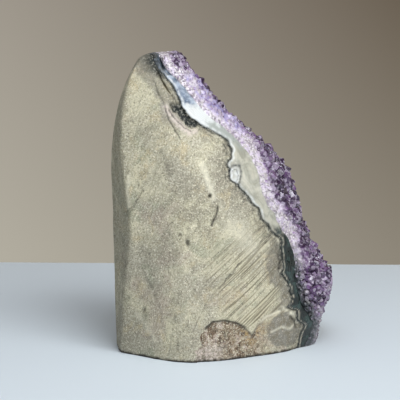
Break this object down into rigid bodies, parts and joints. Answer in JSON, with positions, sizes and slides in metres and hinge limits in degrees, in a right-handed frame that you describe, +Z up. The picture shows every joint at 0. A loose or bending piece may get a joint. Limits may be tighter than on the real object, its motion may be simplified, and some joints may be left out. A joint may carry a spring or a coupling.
{
  "type": "amethyst geode",
  "caption": "Standing cut-base geode: a ground basalt back with a flat sawn foot, a thin agate rind and a sloping face of purple quartz crystals.",
  "frame": {"origin": "bottom centre of the bounding box, on the sawn foot", "axes": "+Z up through the stone's length, +X towards the crystal face, -Y towards the broad ground side of the rock"},
  "size_m": [0.104, 0.0776, 0.138],
  "materials": {
    "basalt": "matte",
    "agate": "satin",
    "amethyst": "polished"
  },
  "bodies": {
    "root": {"basalt_matrix": "basalt", "agate_rind": "agate", "amethyst_crystals": "amethyst"}
  },
  "joints": []
}
